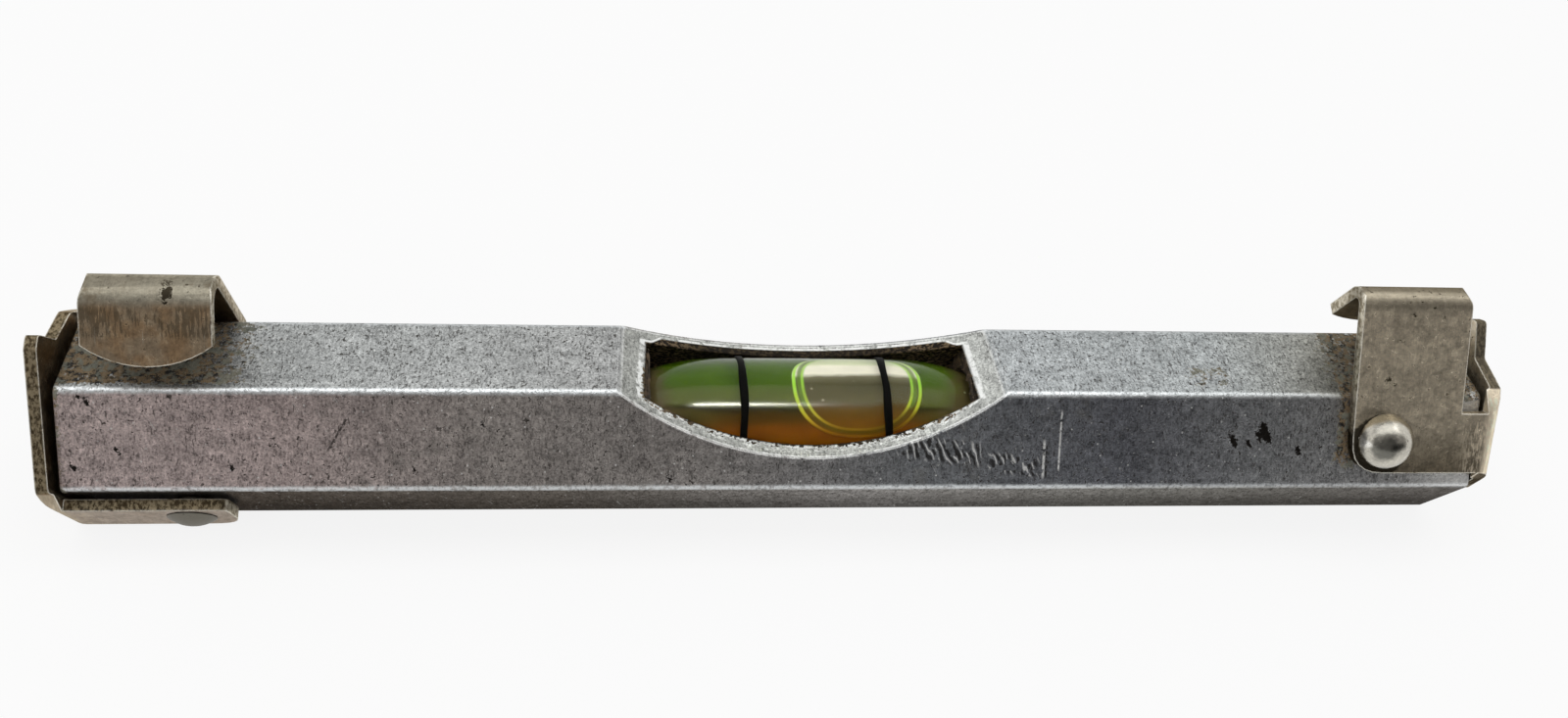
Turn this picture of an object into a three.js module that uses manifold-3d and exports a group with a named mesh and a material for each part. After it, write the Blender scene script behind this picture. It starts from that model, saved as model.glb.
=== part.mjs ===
// Line level: a hexagonal aluminium bar with a spirit vial behind a scooped window,
// and a bent sheet steel hook clip riveted on each end.
// Millimetres, +Z up, +X along the bar. The origin is the centre of the bar's bottom flat.

import * as THREE from 'three';
import { mergeVertices } from 'three/addons/utils/BufferGeometryUtils.js';
import Module from 'manifold-3d';

const wasm = await Module();
wasm.setup();

// Bar
const BAR_LENGTH = 78.8;
const BAR_ACROSS_FLATS = 9.525;
const BAR_WALL = 0.89;
const BAR_EDGE_RADIUS = 0.45;
const BORE_EDGE_RADIUS = 0.5;

// Window scooped across the bar's top face, a little deeper at the front than at the back
const WINDOW_LENGTH = 21.6;
const WINDOW_DEPTH = 3.15;
const WINDOW_TILT = Math.PI / 138;
const WINDOW_SHIFT = 0.38;

// Vial: a straight middle between two tapering ends
const VIAL_DIAMETER = 7.1;
const VIAL_END_DIAMETER = 3.1;
const VIAL_LENGTH = 22.6;
const VIAL_STRAIGHT_LENGTH = 9.6;
const VIAL_WALL = 0.45;
const VIAL_END_WALL = 0.6;
const VIAL_SHIFT = 0.5;
const NECK_DIAMETER = 1.8;
const STOPPER_CAP_DIAMETER = 2.8;
const STOPPER_CAP_HEIGHT = 0.7;

// Rings painted round the vial
const LINE_SPACING = 8.2;
const LINE_SHIFT = 0.24;
const LINE_WIDTH = 0.45;
const LINE_THICKNESS = 0.1;

// Bubble, its travel to each side of the vial's middle, and where it rests
const BUBBLE_LENGTH = 7.5;
const BUBBLE_WIDTH = 5.2;
const BUBBLE_END_REACH = 2.6;
const BUBBLE_CENTRE_HEIGHT = 1.6;
const BUBBLE_DEPTH = 1.9;
const BUBBLE_CROWN_RADIUS = 2.7;
const BUBBLE_REST = 2.7;
const BUBBLE_TRAVEL = 4.9;

// Putty that beds the vial's ends: how far it reaches over the vial and past its tip
const BED_GRIP = 2.3;
const BED_PAST = 2.3;

// Hook clips, each bent from one sheet
const CLIP_SHEET = 0.65;
const CLIP_FLAT_GAP = 0.25;
const CLIP_END_GAP = 0.25;
const CLIP_BEND_RADIUS = 0.25;
const LEFT_HOOK_BEND_RADIUS = 0.85;
const RIGHT_HOOK_BEND_RADIUS = 0.35;
const HOOK_WIDTH = 6.5;
const HOOK_LEAN = 0.27;
const HOOK_INSET = 1.5;
const HOOK_OUTER_CORNER_RADIUS = 0.55;
const HOOK_INNER_CORNER_RADIUS = 0.35;
const TONGUE_REACH = 5.65;
const TONGUE_SAG = 1.1;
const STRAP_WIDTH = 3.55;
const STRAP_DROP = 1.65;
const PAD_CORNER_RADIUS = 1.95;
const LOW_LEG_PAST_RIVET = 2.25;
const LOW_LEG_CORNER_RADIUS = 0.5;

// Fin on the clip's end web: heights up the flat, and places across the bar's end
const FIN_HEIGHT = 6.75;
const FIN_STEP_HEIGHT = 4.6;
const FIN_ROOT_HEIGHT = 3.25;
const FIN_TIP_START = 1.75;
const FIN_TIP_END = 2.55;
const FIN_STEP_END = 3;
const FIN_LEAN = 0.3;
const FIN_CORNER_RADIUS = 0.35;
const WEB_DROP = 3.2;
const WEB_DROP_REACH = 3.6;

// Rivets
const RIVET_INSET = 6.1;
const RIVET_RISE = 0.3;
const RIVET_SHANK_DIAMETER = 1.7;
const RIVET_HEAD_DIAMETER = 3.25;
const RIVET_HEAD_HEIGHT = 1.5;
const RIVET_TAIL_DIAMETER = 2.6;
const RIVET_TAIL_HEIGHT = 0.45;

// Clearances
const HOLE_CLEARANCE = 0.08;
const SEAT_CLEARANCE = 0.05;
const BED_CLEARANCE = 0.1;
const LIQUID_CLEARANCE = 0.12;
const BUBBLE_CLEARANCE = 0.12;
const LINE_CLEARANCE = 0.02;
const CUT_OVERRUN = 2;

// Facets
const CORNER_SEGMENTS = 6;
const ROUND_SEGMENTS = 32;
const SCOOP_SEGMENTS = 180;
const TAPER_STEPS = 8;
const DOME_STEPS = 5;

// Sizes worked out from the ones above
const BAR_APOTHEM = BAR_ACROSS_FLATS / 2;
const BORE_APOTHEM = BAR_APOTHEM - BAR_WALL;
const BAR_END = BAR_LENGTH / 2;
const VIAL_RADIUS = VIAL_DIAMETER / 2;
const VIAL_END = VIAL_LENGTH / 2;
const VIAL_STRAIGHT_END = VIAL_STRAIGHT_LENGTH / 2;
const VIAL_INNER_END = VIAL_END - VIAL_END_WALL;
const CLIP_INNER = BAR_APOTHEM + CLIP_FLAT_GAP;
const CLIP_OUTER = CLIP_INNER + CLIP_SHEET;
const WEB_INNER = BAR_END + CLIP_END_GAP;
const WEB_OUTER = WEB_INNER + CLIP_SHEET;
const LEG_END = WEB_INNER - 2 * CLIP_BEND_RADIUS;
const HOOK_OUTER_END = BAR_END - HOOK_INSET;
const HOOK_INNER_END = HOOK_OUTER_END - HOOK_WIDTH;
const STRAP_TOP = STRAP_WIDTH - STRAP_DROP;
const RIVET_X = BAR_END - RIVET_INSET;

// Each side flat is turned this far from the top flat, and the hook's fold turns twice as far
const FLAT_TURN = Math.PI / 3;
const FOLD_TURN = 2 * FLAT_TURN;

const X = new THREE.Vector3(1, 0, 0);
const Y = new THREE.Vector3(0, 1, 0);
const Z = new THREE.Vector3(0, 0, 1);

// Turns a closed geometry into a solid that can be cut and joined
function solidOf(geometry) {
  const bare = geometry.clone();
  bare.deleteAttribute('normal');
  bare.deleteAttribute('uv');
  const merged = mergeVertices(bare);
  const corners = merged.index.array;
  const triangles = [];
  for (let i = 0; i < corners.length; i += 3) {
    const [a, b, c] = corners.slice(i, i + 3);
    if (a !== b && b !== c && c !== a) triangles.push(a, b, c);
  }
  return new wasm.Manifold(new wasm.Mesh({
    numProp: 3,
    vertProperties: new Float32Array(merged.attributes.position.array),
    triVerts: new Uint32Array(triangles),
  }));
}

// Turns a solid back into a geometry
function geometryOf(solid) {
  const mesh = solid.getMesh();
  const geometry = new THREE.BufferGeometry();
  geometry.setAttribute('position', new THREE.BufferAttribute(mesh.vertProperties, 3));
  geometry.setIndex(new THREE.BufferAttribute(mesh.triVerts, 1));
  geometry.computeVertexNormals();
  return geometry;
}

// Extrudes an outline drawn on two axes, from one level to another along their cross product
function prism(shape, from, to, xAxis, yAxis) {
  const geometry = new THREE.ExtrudeGeometry(shape, {
    depth: to - from,
    bevelEnabled: false,
    curveSegments: CORNER_SEGMENTS,
  });
  geometry.translate(0, 0, from);
  const normal = new THREE.Vector3().crossVectors(xAxis, yAxis);
  geometry.applyMatrix4(new THREE.Matrix4().makeBasis(xAxis, yAxis, normal));
  return solidOf(geometry);
}

// Extrudes a section drawn in Y and Z along the bar
const alongBar = (shape, from, to) => prism(shape, from, to, Y, Z);

// Revolves points given as [x, radius] about the X axis
function turnedGeometry(points) {
  const profile = points.map(([x, radius]) => new THREE.Vector2(radius, x));
  const geometry = new THREE.LatheGeometry(profile, ROUND_SEGMENTS);
  geometry.rotateZ(-Math.PI / 2);
  return geometry;
}

const turned = (points) => solidOf(turnedGeometry(points));

// Puts the mirror image of a run of points before it
const mirrored = (points) => [...points.map(([x, radius]) => [-x, radius]).reverse(), ...points];

// Closed polygon whose corners are [x, y, radius], each rounded by its own radius
function roundedOutline(corners) {
  const shape = new THREE.Shape();
  corners.forEach(([x, y, radius = 0], i) => {
    const corner = new THREE.Vector2(x, y);
    const [beforeX, beforeY] = corners.at(i - 1);
    const [afterX, afterY] = corners[(i + 1) % corners.length];
    const before = new THREE.Vector2(beforeX, beforeY).sub(corner);
    const after = new THREE.Vector2(afterX, afterY).sub(corner);
    const room = Math.min(before.length(), after.length()) / 2;
    const half = before.angleTo(after) / 2;
    const cut = Math.min(radius / Math.tan(half), room);
    const start = corner.clone().addScaledVector(before.normalize(), cut);
    const end = corner.clone().addScaledVector(after.normalize(), cut);
    if (i === 0) shape.moveTo(start.x, start.y);
    else shape.lineTo(start.x, start.y);
    if (radius > 0) shape.quadraticCurveTo(corner.x, corner.y, end.x, end.y);
  });
  shape.closePath();
  return shape;
}

// Regular hexagon with a flat on top, centred on the bar's axis
function hexagon(apothem, edgeRadius) {
  const reach = apothem / Math.cos(FLAT_TURN / 2);
  const corners = [];
  for (let i = 0; i < 6; i += 1) {
    const angle = i * FLAT_TURN;
    corners.push([reach * Math.cos(angle), reach * Math.sin(angle), edgeRadius]);
  }
  return roundedOutline(corners);
}

// The cutter that scoops the window: a wide cylinder laid across the bar, tilted forwards
function windowCutter(shift, clearance) {
  const halfLength = WINDOW_LENGTH / 2;
  const scoopRadius = (halfLength ** 2 + WINDOW_DEPTH ** 2) / (2 * WINDOW_DEPTH);
  const radius = scoopRadius + clearance;
  const width = BAR_ACROSS_FLATS + 2 * CUT_OVERRUN;
  const geometry = new THREE.CylinderGeometry(radius, radius, width, SCOOP_SEGMENTS);
  geometry.rotateY(Math.PI / SCOOP_SEGMENTS);
  geometry.translate(0, 0, scoopRadius);
  geometry.rotateX(WINDOW_TILT);
  geometry.translate(shift, 0, BAR_APOTHEM - WINDOW_DEPTH);
  return solidOf(geometry);
}

// The clip's frame has X along the bar, Y up its side flat and Z out of that flat.
// A rivet's points are [level out of the flat, radius].
function rivetShape(points) {
  const geometry = turnedGeometry(points);
  geometry.rotateY(-Math.PI / 2);
  geometry.translate(RIVET_X, RIVET_RISE, 0);
  return geometry;
}

// The rivet's hole, through the clip's two legs and the tube
function rivetHole() {
  const radius = RIVET_SHANK_DIAMETER / 2 + HOLE_CLEARANCE;
  const reach = CLIP_OUTER + CUT_OVERRUN;
  return rivetShape([[-reach, 0], [-reach, radius], [reach, radius], [reach, 0]]);
}

function bodyTube() {
  const bar = alongBar(hexagon(BAR_APOTHEM, BAR_EDGE_RADIUS), -BAR_END, BAR_END);
  const boreEnd = BAR_END + CUT_OVERRUN;
  const bore = alongBar(hexagon(BORE_APOTHEM, BORE_EDGE_RADIUS), -boreEnd, boreEnd);
  const rightHole = rivetHole().rotateX(FLAT_TURN);
  const leftHole = rightHole.clone().rotateZ(Math.PI);
  return bar.subtract(bore)
    .subtract(windowCutter(WINDOW_SHIFT, 0))
    .subtract(solidOf(rightHole))
    .subtract(solidOf(leftHole));
}

// Radius of the vial's outside at a distance from its middle: straight, then a long ellipse
function vialRadiusAt(x) {
  const taperLength = VIAL_END - VIAL_STRAIGHT_END;
  const endShare = VIAL_END_DIAMETER / VIAL_DIAMETER;
  const taperReach = taperLength / Math.sqrt(1 - endShare ** 2);
  const past = Math.max(0, x - VIAL_STRAIGHT_END);
  return VIAL_RADIUS * Math.sqrt(1 - (past / taperReach) ** 2);
}

// The vial's side, grown or shrunk by an offset, between two equal ends
function vialSide(offset, end) {
  const side = [];
  for (let i = 0; i <= TAPER_STEPS; i += 1) {
    const x = VIAL_STRAIGHT_END + ((end - VIAL_STRAIGHT_END) * i) / TAPER_STEPS;
    side.push([x, vialRadiusAt(x) + offset]);
  }
  return mirrored(side);
}

// The vial's outside as a closed form, grown or shrunk by an offset
function vialForm(offset, end) {
  return turned([[-end, 0], ...vialSide(offset, end), [end, 0]]);
}

function vialGlass() {
  const neck = NECK_DIAMETER / 2;
  return turned([
    [-VIAL_END, 0],
    ...vialSide(0, VIAL_END),
    [VIAL_END, neck],
    [VIAL_INNER_END, neck],
    ...vialSide(-VIAL_WALL, VIAL_INNER_END).reverse(),
    [-VIAL_INNER_END, 0],
  ]);
}

function vialStopper() {
  const shank = NECK_DIAMETER / 2 - SEAT_CLEARANCE;
  const cap = STOPPER_CAP_DIAMETER / 2;
  const seat = VIAL_END + SEAT_CLEARANCE;
  return turned([
    [VIAL_INNER_END, 0],
    [VIAL_INNER_END, shank],
    [seat, shank],
    [seat, cap],
    [seat + STOPPER_CAP_HEIGHT, cap],
    [seat + STOPPER_CAP_HEIGHT, 0],
  ]);
}

// The bubble's pillow shape, grown by a clearance and lengthened along the vial
function bubblePillow(clearance, extraLength) {
  const straight = BUBBLE_LENGTH / 2 - BUBBLE_END_REACH + extraLength;
  const reach = BUBBLE_END_REACH + clearance;
  const side = [];
  for (let i = 0; i <= TAPER_STEPS; i += 1) {
    const angle = ((Math.PI / 2) * i) / TAPER_STEPS;
    side.push([straight + reach * Math.sin(angle), Math.cos(angle)]);
  }
  const geometry = turnedGeometry(mirrored(side));
  geometry.scale(1, BUBBLE_WIDTH / 2 + clearance, BUBBLE_DEPTH / 2 + clearance);
  geometry.translate(0, 0, BUBBLE_CENTRE_HEIGHT);
  return solidOf(geometry);
}

function vialBubble() {
  const reach = BUBBLE_LENGTH;
  const crown = turned([
    [-reach, 0],
    [-reach, BUBBLE_CROWN_RADIUS],
    [reach, BUBBLE_CROWN_RADIUS],
    [reach, 0],
  ]);
  return bubblePillow(0, 0).intersect(crown);
}

// The spirit, left open on top over the bubble's travel so that the bubble can slide
function vialLiquid() {
  const fill = vialForm(-VIAL_WALL - LIQUID_CLEARANCE, VIAL_INNER_END - LIQUID_CLEARANCE);
  const groove = bubblePillow(BUBBLE_CLEARANCE, BUBBLE_TRAVEL);
  const reach = BUBBLE_LENGTH / 2 + BUBBLE_TRAVEL + BUBBLE_CLEARANCE;
  const mouth = roundedOutline([
    [-reach, -VIAL_RADIUS],
    [reach, -VIAL_RADIUS],
    [reach, VIAL_RADIUS],
    [-reach, VIAL_RADIUS],
  ]);
  return fill.subtract(groove).subtract(prism(mouth, BUBBLE_CENTRE_HEIGHT, VIAL_RADIUS, X, Y));
}

function vialLine() {
  const inner = VIAL_RADIUS + LINE_CLEARANCE;
  const outer = inner + LINE_THICKNESS;
  const half = LINE_WIDTH / 2;
  return turned([[-half, inner], [-half, outer], [half, outer], [half, inner], [-half, inner]]);
}

// Putty between the bore and one end of the vial, cut away level with the window
function vialBed(side) {
  const outline = hexagon(BORE_APOTHEM - BED_CLEARANCE, BORE_EDGE_RADIUS);
  const near = side * (VIAL_END - BED_GRIP);
  const far = side * (VIAL_END + BED_PAST);
  const stopperRadius = STOPPER_CAP_DIAMETER / 2 + BED_CLEARANCE;
  const stopperEnd = VIAL_END + SEAT_CLEARANCE + STOPPER_CAP_HEIGHT + BED_CLEARANCE;
  const stopperPocket = turned([
    [0, 0],
    [0, stopperRadius],
    [stopperEnd, stopperRadius],
    [stopperEnd, 0],
  ]);
  return alongBar(outline, Math.min(near, far), Math.max(near, far))
    .subtract(vialForm(BED_CLEARANCE, VIAL_END + BED_CLEARANCE))
    .subtract(stopperPocket)
    .subtract(windowCutter(WINDOW_SHIFT - VIAL_SHIFT, BED_CLEARANCE));
}

// Section of the clip round the bar's end: [along the bar, out of the flat]
function clipStrip() {
  const lowLegEnd = RIVET_X - LOW_LEG_PAST_RIVET;
  const outerRadius = CLIP_BEND_RADIUS + CLIP_SHEET;
  const shape = roundedOutline([
    [HOOK_OUTER_END, CLIP_OUTER],
    [HOOK_OUTER_END, CLIP_INNER],
    [WEB_INNER, CLIP_INNER, CLIP_BEND_RADIUS],
    [WEB_INNER, -CLIP_INNER, CLIP_BEND_RADIUS],
    [lowLegEnd, -CLIP_INNER],
    [lowLegEnd, -CLIP_OUTER],
    [WEB_OUTER, -CLIP_OUTER, outerRadius],
    [WEB_OUTER, CLIP_OUTER, outerRadius],
  ]);
  const reach = FIN_HEIGHT + CUT_OVERRUN;
  return prism(shape, -reach, reach, X, Z);
}

// Outline of the strap that crosses from the upper leg to the web: [along the bar, up the flat]
function strapFace() {
  const end = WEB_OUTER + CUT_OVERRUN;
  const shape = roundedOutline([
    [HOOK_OUTER_END, -STRAP_DROP],
    [end, -STRAP_DROP],
    [end, STRAP_TOP],
    [HOOK_OUTER_END, STRAP_TOP],
  ]);
  return prism(shape, CLIP_INNER - CLIP_BEND_RADIUS, CLIP_OUTER, X, Y);
}

// Outline of the end web with its fin: [up the flat, out of the flat]
function webFace() {
  const shape = roundedOutline([
    [STRAP_TOP, CLIP_OUTER],
    [FIN_ROOT_HEIGHT, CLIP_INNER, FIN_CORNER_RADIUS],
    [FIN_STEP_HEIGHT, FIN_STEP_END, FIN_CORNER_RADIUS],
    [FIN_HEIGHT, FIN_TIP_END, FIN_CORNER_RADIUS],
    [FIN_HEIGHT, FIN_TIP_START, FIN_CORNER_RADIUS],
    [FIN_ROOT_HEIGHT, -CLIP_INNER, FIN_CORNER_RADIUS],
    [STRAP_TOP, -CLIP_OUTER],
    [-STRAP_DROP, -CLIP_OUTER],
    [-WEB_DROP, -WEB_DROP_REACH, FIN_CORNER_RADIUS],
    [-WEB_DROP, WEB_DROP_REACH, FIN_CORNER_RADIUS],
    [-STRAP_DROP, CLIP_OUTER],
  ]);
  return alongBar(shape, WEB_INNER - CLIP_BEND_RADIUS, WEB_OUTER);
}

// Outline of the low leg on the bar's opposite flat: [along the bar, up the flat].
// Its lower corner is cut round like the pad's.
function lowLegFace() {
  const start = RIVET_X - LOW_LEG_PAST_RIVET;
  const end = WEB_OUTER + CUT_OVERRUN;
  const shape = roundedOutline([
    [start, -STRAP_DROP, PAD_CORNER_RADIUS],
    [end, -STRAP_DROP],
    [end, STRAP_TOP],
    [start, STRAP_TOP, LOW_LEG_CORNER_RADIUS],
  ]);
  return prism(shape, -CLIP_OUTER, -CLIP_INNER + CLIP_BEND_RADIUS, X, Y);
}

// Where the hook's fold lies: its centre is over the middle of the bar.
// The tongue's reach is measured from the sharp corner that the fold rounds off.
function foldPlace(bendRadius) {
  const outerRadius = bendRadius + CLIP_SHEET;
  const level = CLIP_OUTER - outerRadius;
  const rise = level * Math.tan(FLAT_TURN);
  const tongueLength = TONGUE_REACH - outerRadius * Math.tan(FLAT_TURN);
  return { outerRadius, level, rise, tongueLength };
}

// Section of the hook across the bar: [up the flat, out of the flat].
// The leg goes up to a fold over the bar's middle and the tongue comes down beyond it.
function hookSection(bendRadius) {
  const { outerRadius, level, rise, tongueLength } = foldPlace(bendRadius);
  const legEnd = -STRAP_DROP;
  const foldEnd = Math.PI / 2 - FOLD_TURN;
  const length = tongueLength + CUT_OVERRUN;
  const tongueEnd = (radius) => [
    rise + radius * Math.cos(foldEnd) + length * Math.sin(foldEnd),
    level + radius * Math.sin(foldEnd) - length * Math.cos(foldEnd),
  ];
  const shape = new THREE.Shape();
  shape.moveTo(legEnd, CLIP_INNER);
  shape.lineTo(legEnd, CLIP_OUTER);
  shape.lineTo(rise, CLIP_OUTER);
  shape.absarc(rise, level, outerRadius, Math.PI / 2, foldEnd, true);
  shape.lineTo(...tongueEnd(outerRadius));
  shape.lineTo(...tongueEnd(bendRadius));
  shape.absarc(rise, level, bendRadius, foldEnd, Math.PI / 2, false);
  shape.closePath();
  return shape;
}

// Outline of the leg below the hook: a pad round the rivet and the start of the strap
function legFace(bendRadius) {
  const { outerRadius, rise } = foldPlace(bendRadius);
  const top = rise + outerRadius;
  const shape = roundedOutline([
    [HOOK_INNER_END, -STRAP_DROP, PAD_CORNER_RADIUS],
    [LEG_END, -STRAP_DROP],
    [LEG_END, STRAP_TOP],
    [HOOK_OUTER_END, STRAP_TOP],
    [HOOK_OUTER_END, top],
    [HOOK_INNER_END, top],
  ]);
  const reach = CLIP_OUTER + CUT_OVERRUN;
  return prism(shape, -reach, reach, X, Y);
}

// Frame, seen from the bar's front, that rounds the two corners of the hook at its fold
function foldCorners(bendRadius) {
  const { outerRadius, level } = foldPlace(bendRadius);
  const upright = new THREE.Vector3(0, Math.sin(FLAT_TURN), Math.cos(FLAT_TURN));
  const top = level / Math.cos(FLAT_TURN) + outerRadius;
  const bottom = -CLIP_OUTER;
  const shape = roundedOutline([
    [HOOK_INNER_END - CUT_OVERRUN, bottom],
    [WEB_OUTER, bottom],
    [WEB_OUTER, BAR_APOTHEM],
    [HOOK_OUTER_END, BAR_APOTHEM],
    [HOOK_OUTER_END, top, HOOK_OUTER_CORNER_RADIUS],
    [HOOK_INNER_END, top, HOOK_INNER_CORNER_RADIUS],
    [HOOK_INNER_END, BAR_APOTHEM],
    [HOOK_INNER_END - CUT_OVERRUN, BAR_APOTHEM],
  ]);
  const reach = BAR_ACROSS_FLATS;
  return prism(shape, -reach, reach, X, upright);
}

// What is cut off beyond the tongue's rounded end: [along the bar, down the tongue]
function tongueTrim(bendRadius) {
  const downTongue = new THREE.Vector3(0, Math.cos(FOLD_TURN), -Math.sin(FOLD_TURN));
  const middle = (HOOK_INNER_END + HOOK_OUTER_END) / 2;
  const halfWidth = HOOK_WIDTH / 2;
  const { rise, tongueLength } = foldPlace(bendRadius);
  const tip = tongueLength - rise;
  const side = tip - TONGUE_SAG;
  const radius = (halfWidth ** 2 + TONGUE_SAG ** 2) / (2 * TONGUE_SAG);
  const spread = Math.asin(halfWidth / radius);
  const upwards = Math.PI / 2;
  const far = tip + 2 * CUT_OVERRUN;
  const shape = new THREE.Shape();
  shape.moveTo(middle - halfWidth - CUT_OVERRUN, side);
  shape.lineTo(middle - halfWidth, side);
  shape.absarc(middle, tip - radius, radius, upwards + spread, upwards - spread, true);
  shape.lineTo(middle + halfWidth + CUT_OVERRUN, side);
  shape.lineTo(middle + halfWidth + CUT_OVERRUN, far);
  shape.lineTo(middle - halfWidth - CUT_OVERRUN, far);
  shape.closePath();
  return prism(shape, BAR_APOTHEM / 2, CLIP_OUTER + CUT_OVERRUN, X, downTongue);
}

// Leans a piece of the clip so that it lies this much further along the bar at a height
function leaned(solid, lean, height) {
  const shear = new THREE.Matrix4().makeShear(0, 0, lean / height, 0, 0, 0);
  return solidOf(geometryOf(solid).applyMatrix4(shear));
}

function hookClip(bendRadius) {
  const faces = strapFace().add(webFace()).add(lowLegFace());
  const strip = leaned(clipStrip().intersect(faces), FIN_LEAN, FIN_HEIGHT);
  const hook = alongBar(hookSection(bendRadius), HOOK_INNER_END - CUT_OVERRUN, LEG_END)
    .intersect(legFace(bendRadius))
    .intersect(foldCorners(bendRadius))
    .subtract(tongueTrim(bendRadius));
  return leaned(hook, -HOOK_LEAN, foldPlace(bendRadius).rise)
    .add(strip)
    .subtract(solidOf(rivetHole()));
}

// Rim to top of a rounded head that stands on a level: [level, radius]
function dome(level, radius, height) {
  const sphereRadius = (radius ** 2 + height ** 2) / (2 * height);
  const centre = level + height - sphereRadius;
  const rimAngle = Math.asin((level - centre) / sphereRadius);
  const points = [];
  for (let i = 0; i <= DOME_STEPS; i += 1) {
    const angle = rimAngle + ((Math.PI / 2 - rimAngle) * i) / DOME_STEPS;
    points.push([centre + sphereRadius * Math.sin(angle), sphereRadius * Math.cos(angle)]);
  }
  return points;
}

// Rivet through the clip and the tube: a high head outside the hook's leg and a flatter tail
function rivet() {
  const seat = CLIP_OUTER + SEAT_CLEARANCE;
  const shank = RIVET_SHANK_DIAMETER / 2;
  const tailRadius = RIVET_TAIL_DIAMETER / 2;
  const tail = dome(seat, tailRadius, RIVET_TAIL_HEIGHT).map(([level, r]) => [-level, r]);
  const head = dome(seat, RIVET_HEAD_DIAMETER / 2, RIVET_HEAD_HEIGHT);
  return solidOf(rivetShape([...tail.reverse(), [-seat, shank], [seat, shank], ...head]));
}

// Colours and finishes
const finish = (color, roughness, metalness) => ({ color, roughness, metalness });
const ALUMINIUM = finish(0xa9abae, 0.38, 1);
const NICKELLED_STEEL = finish(0x8b8478, 0.42, 1);
const RIVET_STEEL = finish(0xb9b4aa, 0.3, 1);
const CLEAR_GLASS = { ...finish(0xe6efe6, 0.05, 0), transparent: true, opacity: 0.35 };
const SPIRIT = finish(0x7d9430, 0.15, 0);
const AIR = finish(0xd8dcae, 0.1, 0);
const BLACK_PAINT = finish(0x0c0c0c, 0.45, 0);
const PUTTY = finish(0x3a3026, 0.9, 0);
const SEALING_RUBBER = finish(0x1c1a18, 0.8, 0);

// One named mesh with its own material
function piece(name, solid, look) {
  const mesh = new THREE.Mesh(geometryOf(solid), new THREE.MeshStandardMaterial(look));
  mesh.name = name;
  return mesh;
}

// Moves a mesh along the bar
function shifted(mesh, x) {
  mesh.position.x = x;
  return mesh;
}

// A clip and its rivet in the clip's frame, stood on the bar's side flat
function clipEnd(side, bendRadius) {
  const onFlat = new THREE.Group();
  onFlat.rotation.x = FLAT_TURN;
  onFlat.add(piece(`clip_${side}`, hookClip(bendRadius), NICKELLED_STEEL));
  onFlat.add(piece(`rivet_${side}`, rivet(), RIVET_STEEL));
  const end = new THREE.Group();
  end.add(onFlat);
  return end;
}

const vial = new THREE.Group();
vial.position.x = VIAL_SHIFT;
vial.add(
  piece('vial_glass', vialGlass(), CLEAR_GLASS),
  piece('vial_stopper', vialStopper(), SEALING_RUBBER),
  piece('vial_liquid', vialLiquid(), SPIRIT),
  shifted(piece('vial_bubble', vialBubble(), AIR), BUBBLE_REST),
  shifted(piece('vial_line_left', vialLine(), BLACK_PAINT), LINE_SHIFT - LINE_SPACING / 2),
  shifted(piece('vial_line_right', vialLine(), BLACK_PAINT), LINE_SHIFT + LINE_SPACING / 2),
  piece('vial_bed_left', vialBed(-1), PUTTY),
  piece('vial_bed_right', vialBed(1), PUTTY),
);

const leftEnd = clipEnd('left', LEFT_HOOK_BEND_RADIUS);
leftEnd.rotation.z = Math.PI;
const rightEnd = clipEnd('right', RIGHT_HOOK_BEND_RADIUS);

const lineLevel = new THREE.Group();
lineLevel.position.z = BAR_APOTHEM;
lineLevel.add(piece('body_tube', bodyTube(), ALUMINIUM), vial, leftEnd, rightEnd);

export default lineLevel;
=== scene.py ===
import math
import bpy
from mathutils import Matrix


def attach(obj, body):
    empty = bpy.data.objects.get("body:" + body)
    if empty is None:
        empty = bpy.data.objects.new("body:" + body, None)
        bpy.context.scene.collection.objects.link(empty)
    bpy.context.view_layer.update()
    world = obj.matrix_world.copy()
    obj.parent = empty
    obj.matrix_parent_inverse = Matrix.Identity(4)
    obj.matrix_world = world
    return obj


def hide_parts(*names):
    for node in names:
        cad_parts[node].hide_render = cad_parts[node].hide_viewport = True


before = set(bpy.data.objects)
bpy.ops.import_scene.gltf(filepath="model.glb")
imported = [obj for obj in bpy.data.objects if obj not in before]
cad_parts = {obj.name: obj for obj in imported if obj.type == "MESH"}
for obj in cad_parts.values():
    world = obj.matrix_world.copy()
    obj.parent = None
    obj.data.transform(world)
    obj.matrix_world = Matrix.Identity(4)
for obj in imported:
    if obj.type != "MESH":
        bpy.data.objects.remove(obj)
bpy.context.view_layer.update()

from types import SimpleNamespace

import bmesh
import bpy
from mathutils import Matrix, Vector

# Sizes and places are in millimetres in the part's own frame, and meshes are made in metres
MM = 0.001

# Bar: hexagonal, lying along x. Its flats and the bore's are this far from its axis, and its
# sloping flats lean by 60 degrees. The upper ridges are at RIDGE_Y, the side ones at SIDE_RIDGE_Y
AXIS_HEIGHT = 4.7625
BAR_EDGE = 4.7625
BORE_EDGE = 3.8725
RIDGE_Y = 2.75
SIDE_RIDGE_Y = 5.5
SLOPE_COS = math.cos(math.radians(60))
SLOPE_SIN = math.sin(math.radians(60))
WINDOW_ENDS = (-11.5, 12.3)

# Clips: along the bar the hook ends first and the web starts past it. Each rivet is as far along
# the bar as the other, and it sits a little above the middle of its sloping flat
HOOK_END = 38.6
WEB_START = 39.3
LEFT_HOOK_MIDDLE = -34.6
RIVET_X = 33.3
RIVET_RISE = 0.3

# Edges: how far the light rounds those of the bar and the clips, and with how many samples
BAR_ROUNDING = 0.18
CLIP_ROUNDING = 0.12
EDGE_SAMPLES = 6

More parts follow.
